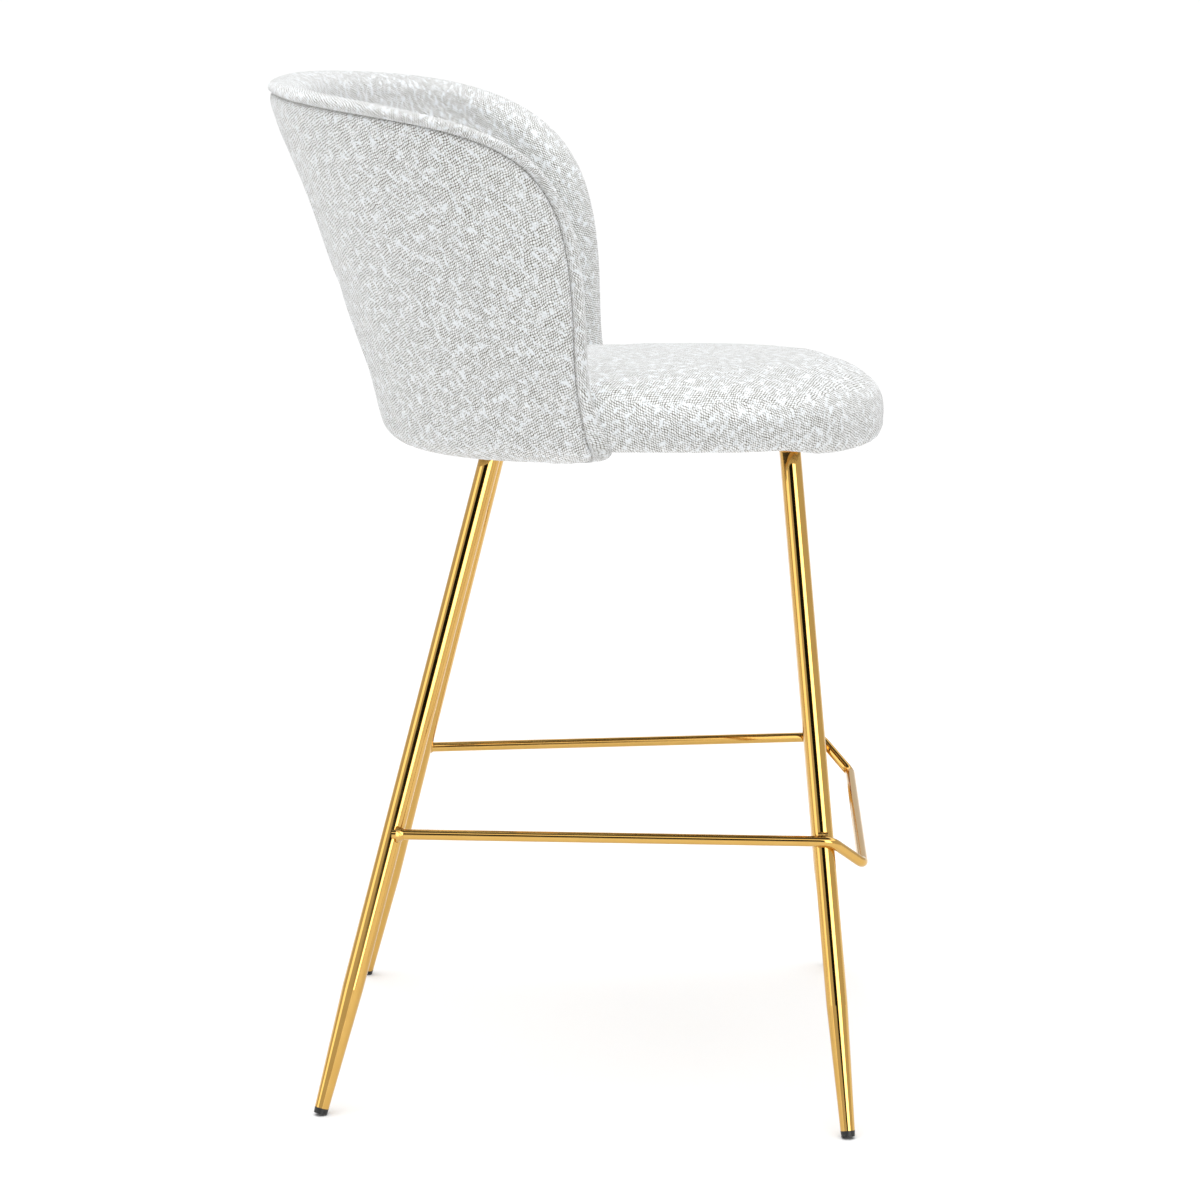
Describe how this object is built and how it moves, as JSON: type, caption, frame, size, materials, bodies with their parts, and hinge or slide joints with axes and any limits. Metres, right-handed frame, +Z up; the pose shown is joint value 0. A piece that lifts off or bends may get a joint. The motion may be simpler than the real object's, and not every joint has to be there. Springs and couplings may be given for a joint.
{
  "type": "bar stool with footrest",
  "caption": "Counter-height stool with a padded tub back, a round-fronted seat, splayed gold tube legs and a bent rod footrest.",
  "frame": {"origin": "on the floor, under the middle of the stool's overall box", "axes": "+Z up; the stool faces -Y, so its back is at +Y; +X is the sitter's left"},
  "size_m": [0.5324, 0.5607, 0.9138],
  "materials": {
    "gold_plate": "polished gold plate on steel",
    "cap_plastic": "moulded black plastic",
    "boucle_fabric": "woven boucle, white slub yarn over a beige ground",
    "upholstery_foam": "cut foam",
    "plywood": "raw plywood",
    "dust_cloth": "black non-woven cloth",
    "zinc_steel": "zinc-plated steel"
  },
  "bodies": {
    "root": {"leg_front_right": "gold_plate", "foot_cap_front_right": "cap_plastic", "leg_front_left": "gold_plate", "foot_cap_front_left": "cap_plastic", "leg_rear_right": "gold_plate", "foot_cap_rear_right": "cap_plastic", "leg_rear_left": "gold_plate", "foot_cap_rear_left": "cap_plastic", "footrest_rod": "gold_plate", "footrest_welds": "gold_plate", "mount_plate_front": "gold_plate", "mount_plate_rear": "gold_plate", "frame_rail_right": "gold_plate", "frame_rail_left": "gold_plate", "leg_welds": "gold_plate", "rail_welds": "gold_plate", "plate_bolts": "zinc_steel", "plate_washers": "zinc_steel", "tee_nuts": "zinc_steel", "back_screws": "zinc_steel", "back_cover_outer": "boucle_fabric", "back_cover_inner": "boucle_fabric", "back_rim_roll": "boucle_fabric", "seat_cover": "boucle_fabric", "back_wadding": "upholstery_foam", "back_foam": "upholstery_foam", "seat_foam": "upholstery_foam", "back_shell": "plywood", "seat_board": "plywood", "dust_cover": "dust_cloth"}
  },
  "joints": []
}
